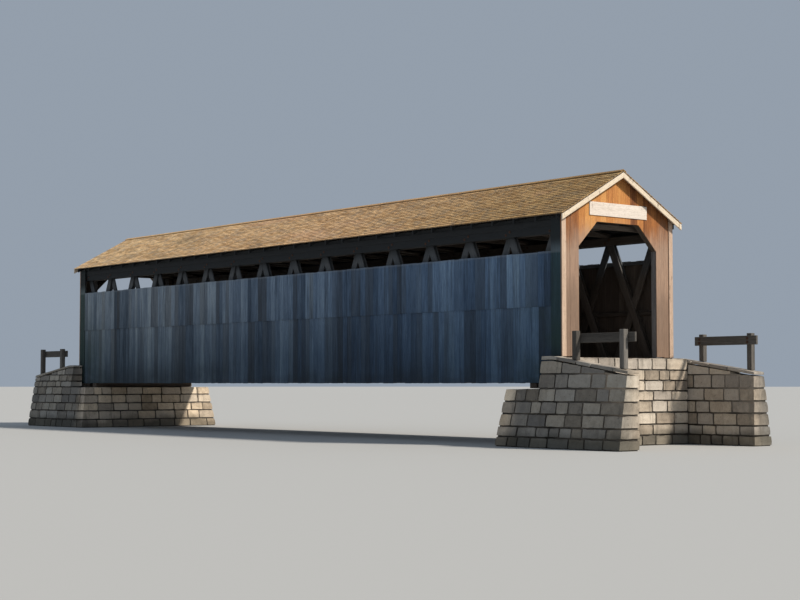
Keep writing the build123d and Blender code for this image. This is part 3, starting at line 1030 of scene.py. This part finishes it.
def hollows(local, size, normal, shift, rough):
    """How far each point of a stone lies under its flat face: uneven all over, and more
    towards the edges."""
    dimension, lacunarity, octaves = 0.9, 2.1, 4
    uneven = [
        noise.fractal(Vector(point) * bump_scale, dimension, lacunarity, octaves)
        for point in local + shift
    ]
    uneven = np.clip(0.5 + 0.9 * np.array(uneven), 0.0, 1.0)
    from_edge = np.minimum(local, size - local) + np.abs(normal) * size
    slope_reach = 0.11
    slope = np.clip(from_edge.min(axis=1) / slope_reach, 0.0, 1.0)
    return rough * (uneven + (rock_face / rough_stone) * (1 - slope) ** 2)


def block(batch, box, rng, shape, cells, rough=rough_stone):
    """One stone in a box of three ranges: rounded, with rough faces that stay inside it.
    shape turns its points into places on the battered wall. A box that is too thin for
    rounded edges stays empty."""
    low, high = np.array(box).T
    gaps = [joint / 2 + rng.uniform(0.0, 0.01) for _ in range(6)]
    low = low + gaps[:3]
    size = high - gaps[3:] - low
    if size.min() < smallest_stone:
        return
    lines = [grid_lines(length, cell) for length, cell in zip(size, cells)]
    keys, faces = shell(tuple(len(line) - 1 for line in lines))
    local = np.stack([lines[axis][keys[:, axis]] for axis in range(3)], axis=1)
    local, normal = rounded(local, size)
    shift = random_shift(rng)
    local -= normal * hollows(local, size, normal, shift, rough)[:, None]
    batch.add(shape(local + low), faces, local + shift, rng.random())


def wing_top(x):
    """The height of the wing wall's sloping top at x."""
    share = np.clip((x - level_end) / (wing_high.x - level_end), 0.0, 1.0)
    return wing_high.z - share * wing_fall


def battered(y_sign, lower=True):
    """Turns a place on upright walls into one on the battered east abutment. The front's
    batter applies only to what is lower than the seat."""

    def shape(points):
        x, y, z = points[:, 0], points[:, 1], points[:, 2]
        if lower:
            share = np.clip((body_high.x - x) / (body_high.x - body_low.x), 0.0, 1.0)
            x = x + front_batter * z / seat_level * share
        outer = body_high.y - side_batter * z / seat_level
        scale = (outer - wing_inner) / (body_high.y - wing_inner)
        beyond = np.maximum(np.abs(y) - wing_inner, 0.0) * scale
        inner = np.minimum(np.abs(y), wing_inner)
        return np.stack([x, y_sign * np.sign(y) * (inner + beyond), z], axis=1)

    return shape


def under_coping(y_sign, z0, z1):
    """A place in a wing wall's course, squeezed to stay under the sloping coping."""

    def shape(points):
        room = np.minimum(z1, wing_top(points[:, 0]) - coping) - z0
        lowered = points.copy()
        lowered[:, 2] = z0 + (points[:, 2] - z0) * room / (z1 - z0)
        return battered(y_sign, False)(lowered)

    return shape


def on_slope(y_sign):
    """A place in the coping, whose foot follows the wing wall's sloping top."""

    def shape(points):
        lifted = points.copy()
        lifted[:, 2] += wing_top(points[:, 0]) - coping
        return battered(y_sign, False)(lifted)

    return shape


def upright(points):
    """A place on a wall without batter."""
    return points


def course_heights(bottom, top, count, rng):
    """Heights of the courses between two levels, a little uneven."""
    average = (top - bottom) / count
    return spans(bottom, top, (0.85 * average, 1.15 * average), rng)


def side_stones(batch, lower_courses, rng):
    """The stones of both side walls, from the front to the wing walls' ends."""
    cells = (fine_cell, coarse_cell, fine_cell)
    far, wall_top = wing_high.x, wing_high.z - coping
    y_range = (wing_inner, body_high.y)
    slope = wing_fall / (far - level_end)
    upper_courses = course_heights(seat_level, wall_top, courses_above_seat, rng)
    for side in (1, -1):
        for index, z_range in enumerate(lower_courses):
            front = body_low.x if index % 2 else body_low.x + front_row
            for x_range in spans(front, far, side_stone_lengths, rng):
                block(batch, (x_range, y_range, z_range), rng, battered(side), cells)
        for z_range in upper_courses:
            room_ends = level_end + (wall_top - z_range[0] - lowest_wing_stone) / slope
            shape = under_coping(side, *z_range)
            for x_range in spans(wing_low.x, min(far, room_ends), wing_stone_lengths, rng):
                block(batch, (x_range, y_range, z_range), rng, shape, cells)
        for x_range in spans(wing_low.x, far, coping_lengths, rng):
            box = (x_range, y_range, (0.0, coping))
            block(batch, box, rng, on_slope(side), slab_cells, coping_rough)


def front_stones(batch, lower_courses, rng):
    """The stones of the front under the bridge, bonded with the side walls at the corners,
    and the slabs of the seat behind them."""
    cells = (coarse_cell, fine_cell, fine_cell)
    row = (body_low.x, body_low.x + front_row)
    for index, z_range in enumerate(lower_courses):
        reach = wing_inner if index % 2 else body_high.y
        for y_range in spans(-reach, reach, front_stone_lengths, rng):
            block(batch, (row, y_range, z_range), rng, battered(1), cells)
    z_range = (seat_level - seat_slab, seat_level)
    for x_range in spans(row[1], ledge_front, seat_slab_widths, rng):
        for y_range in spans(-wing_inner, wing_inner, seat_slab_lengths, rng):
            block(batch, (x_range, y_range, z_range), rng, battered(1), slab_cells, seat_rough)


def back_stones(batch, rng):
    """The wall behind the deck's end, and the ledges that carry the sill and stringers."""
    cells = (coarse_cell, fine_cell, fine_cell)
    x_range = (backwall_face, body_high.x)
    for z_range in course_heights(0.0, body_high.z, backwall_courses, rng):
        for y_range in spans(-wing_inner, wing_inner, back_stone_lengths, rng):
            block(batch, (x_range, y_range, z_range), rng, upright, cells)
    sill_front = portal_high.x - ledge_length
    ledges = (
        ((sill_front, backwall_face), lower_low.y - backwall_gap / 2),
        ((ledge_front, sill_front), top_chord_low.y - backwall_gap),
    )
    for x_range, reach in ledges:
        for z_range in course_heights(seat_level, sill_bottom, ledge_courses, rng):
            for y_range in spans(-reach, reach, ledge_stone_lengths, rng):
                block(batch, (x_range, y_range, z_range), rng, upright, slab_cells, coping_rough)


def mortar_cores(batch):
    """The mortar behind the stones' joints: in the body, the wall behind the deck, the
    ledges and the wing walls."""
    back, outer, reach = body_high.x, body_high.y, top_chord_low.y
    ledge_end = backwall_face + core_overlap
    cores = [
        ((body_low.x, back), (-outer, outer), (0.0, seat_level), battered(1)),
        ((backwall_face, back), (-wing_inner, wing_inner), (core_foot, body_high.z), upright),
        ((ledge_front, ledge_end), (-reach, reach), (core_foot, sill_bottom), upright),
    ]
    wing_parts = (
        ((wing_low.x, level_end + core_inset), core_foot),
        ((level_end - core_inset, wing_high.x), 0.0),
    )
    for side, (x_range, foot) in product((1, -1), wing_parts):
        z_range = (foot, wing_high.z)
        cores.append((x_range, (wing_inner, outer), z_range, under_coping(side, *z_range)))
    keys, faces = shell((1, 1, 1))
    for *box, shape in cores:
        low, high = np.array(box).T
        low = low + (core_inset, core_inset, 0.0)
        points = low + keys * (high - core_inset - low)
        batch.add(shape(points), faces, points, 0.5, [1] * len(faces))


def stonework(end, half_turn, materials):
    """One abutment with its wing walls, stone by stone round cores of mortar."""
    batch = Batch()
    rng = random.Random(f"{end} stonework")
    lower_courses = course_heights(0.0, seat_level, courses_below_seat, rng)
    side_stones(batch, lower_courses, rng)
    front_stones(batch, lower_courses, rng)
    back_stones(batch, rng)
    mortar_cores(batch)
    nodes = [f"{end}_abutment_body", f"{end}_wing_walls"]
    batch.make(f"{end}_stonework", materials, nodes, half_turn, smooth=True)


# Bolts

washer_radius = 0.045
washer_height = 0.01
nut_radius = 0.024
nut_height = 0.022
chord_bolt_offset = 0.09
rail_bolt_offset = 0.06


def prism(batch, centre, outward, radius, height, rng, corners):
    """A washer, nut or nail head that faces along Y, with its outer rim chamfered."""
    points = []
    for reach, lift in ((1.0, 0.0), (1.0, 0.8), (0.86, 1.0)):
        for index in range(corners):
            angle = 2 * math.pi * index / corners
            x = centre[0] + radius * reach * math.cos(angle)
            z = centre[2] + radius * reach * math.sin(angle)
            points.append((x, centre[1] + outward * height * lift, z))
    batch.add(points, ring_faces(corners), points, rng.random())


def bolt(batch, x, y, z, outward, rng):
    """A washer with a nut on it."""
    prism(batch, (x, y, z), outward, washer_radius, washer_height, rng, corners=12)
    nut_foot = (x, y + outward * washer_height, z)
    prism(batch, nut_foot, outward, nut_radius, nut_height, rng, corners=6)


def bolts(material):
    """Two bolts through each chord at every panel point, and two through each end of the
    guard rails."""
    batch = Batch()
    rng = random.Random("bolts")
    panel = 2 * truss_end / panel_count
    chords = ((foot_chord_low, foot_chord_high), (top_chord_low, top_chord_high))
    offsets = (-chord_bolt_offset, chord_bolt_offset)
    points = range(panel_count + 1)
    for side, (low, high), index, offset in product((1, -1), chords, points, offsets):
        x = -truss_end + index * panel + offset
        z = (low.z + high.z) / 2 + offset * 0.5
        bolt(batch, x, side * low.y, z, -side, rng)
        bolt(batch, x, side * high.y, z, side, rng)
    rail_face = rails_high.y - guard_rail_thickness
    rail_middle = (rails_low.z + rails_high.z) / 2
    offsets = (-rail_bolt_offset, rail_bolt_offset)
    for end, side, place, offset in product((1, -1), (1, -1), guard_post_places, offsets):
        x = end * (portal_high.x + place)
        bolt(batch, x, side * rail_face, rail_middle + offset, -side, rng)
    batch.make("bolts", [material])


# Stage, light and camera

photo_camera = Vector((49.49, -36.89, 1.93))
frame_fill = 0.93
floor_radius = 900.0
floor_sides = 96
floor_drop = 0.001
floor_tone = (0.43, 0.43, 0.42, 1.0)
towards_key = Vector((0.72, 0.3, 0.62))
key_strength = 4.6
key_spread = math.radians(6)
key_tone = (1.0, 0.93, 0.83)
sky_tone = (0.72, 0.84, 1.0, 1.0)
sky_strength = 0.41


def stage():
    """A plain pale floor."""
    mesh = bpy.data.meshes.new("studio_floor")
    angles = [2 * math.pi * index / floor_sides for index in range(floor_sides)]
    rim = [(floor_radius * math.cos(a), floor_radius * math.sin(a), 0.0) for a in angles]
    mesh.from_pydata(rim, [], [tuple(range(floor_sides))])
    floor = new_object("studio_floor", mesh)
    floor.location.z = -floor_drop
    material = bpy.data.materials.new("studio_floor")
    material.use_nodes = True
    shader = material.node_tree.nodes["Principled BSDF"]
    shader.inputs["Base Color"].default_value = floor_tone
    shader.inputs["Roughness"].default_value = 0.9
    mesh.materials.append(material)


def lights():
    """A soft key light from beyond the east portal, and an even pale sky."""
    sun = bpy.data.lights.new("key", "SUN")
    sun.energy = key_strength
    sun.angle = key_spread
    sun.color = key_tone
    key = new_object("key", sun)
    key.rotation_mode = "QUATERNION"
    key.rotation_quaternion = towards_key.to_track_quat("Z", "Y")
    world = bpy.data.worlds.new("studio")
    world.use_nodes = True
    background = world.node_tree.nodes["Background"]
    background.inputs["Color"].default_value = sky_tone
    background.inputs["Strength"].default_value = sky_strength
    bpy.context.scene.world = world
    bpy.context.scene.view_settings.view_transform = "Standard"


def camera():
    """Stands where the photograph's camera stood, turned to the bridge, with a lens that
    fills the frame's width."""
    low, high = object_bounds()
    rays = [Vector(corner) - photo_camera for corner in product(*zip(low, high))]
    bearings = [math.atan2(ray.y, ray.x) for ray in rays]
    rises = [ray.z / math.hypot(ray.x, ray.y) for ray in rays]
    bearing = (min(bearings) + max(bearings)) / 2
    rise = (min(rises) + max(rises)) / 2
    half = (max(bearings) - min(bearings)) / 2
    data = bpy.data.cameras.new("photo_camera")
    data.sensor_width = 36.0
    data.lens = data.sensor_width / 2 * frame_fill / math.tan(half)
    data.clip_start, data.clip_end = 0.5, 2 * floor_radius
    viewer = new_object("photo_camera", data)
    viewer.location = photo_camera
    ahead = Vector((math.cos(bearing), math.sin(bearing), rise))
    viewer.rotation_mode = "QUATERNION"
    viewer.rotation_quaternion = ahead.to_track_quat("-Z", "Y")
    bpy.context.scene.camera = viewer


camera()
stage()
lights()

dry_brown = (0.085, 0.066, 0.052)
worn_grey = (0.088, 0.082, 0.082)
dull_brown = (0.36, 0.31, 0.26)
siding = wood("weathered_siding_with_painted_skylight", siding_tones_with_painted_skylight, 0.66, worn_grey, siding_weather_and_painted_shade)
corner_boards = wood("mossy_boards_with_painted_eave_shadow", corner_tones, 0.5, weather=siding_weather_and_painted_shade)
inner_boards = wood("sheltered_boards", inner_tones, 0.4)
gable = wood("portal_wood", portal_tones, 0.75, weather=portal_weather)
framing = wood("frame_timber", frame_tones, 0.5, weather=frame_weather_and_painted_light)
post_wood = wood("post_timber", post_tones, 0.5)
planks = wood("deck_wood", deck_tones, 0.5, dry_brown, deck_weather)
roofing = wood("split_shingles", shingle_tones, 0.5, dull_brown, shingle_weather_and_painted_sheen)
trim_paint = wood("pale_paint", paint_tones, 0.3, None, paint_weather, 0.0015, 0.7)
rake_paint = wood("rake_paint", rake_tones, 0.3, None, paint_weather, 0.0015, 0.7)
sign_paint = wood("sign_paint", sign_tones, 0.3, None, paint_weather, 0.001, 0.6)
rail_wood = wood("rail_wood", rail_tones, 0.4)
masonry = [stone("cut_stone"), mortar("joint_mortar")]
rusty = iron("rusty_iron")

side_walls(siding, inner_boards, rusty)
end_boards(corner_boards, inner_boards)
portal_boards(gable, inner_boards)
shingles(roofing)
sheathing(inner_boards)
deck_planks(planks)
stonework("east", False, masonry)
stonework("west", True, masonry)
bolts(rusty)

for node, slot in node_slots.items():
    if slot == "framing" and node != "portal_posts":
        dressed(node, framing)
dressed("portal_posts", post_wood)
dressed("ridge_boards", roofing, 0.004)
dressed("rake_boards", rake_paint, 0.005)
dressed("portal_corner_trim", trim_paint, 0.004)
dressed("sign_boards", sign_paint, 0.004)
dressed("guard_posts", rail_wood, 0.012)
dressed("guard_rails", rail_wood, 0.01)
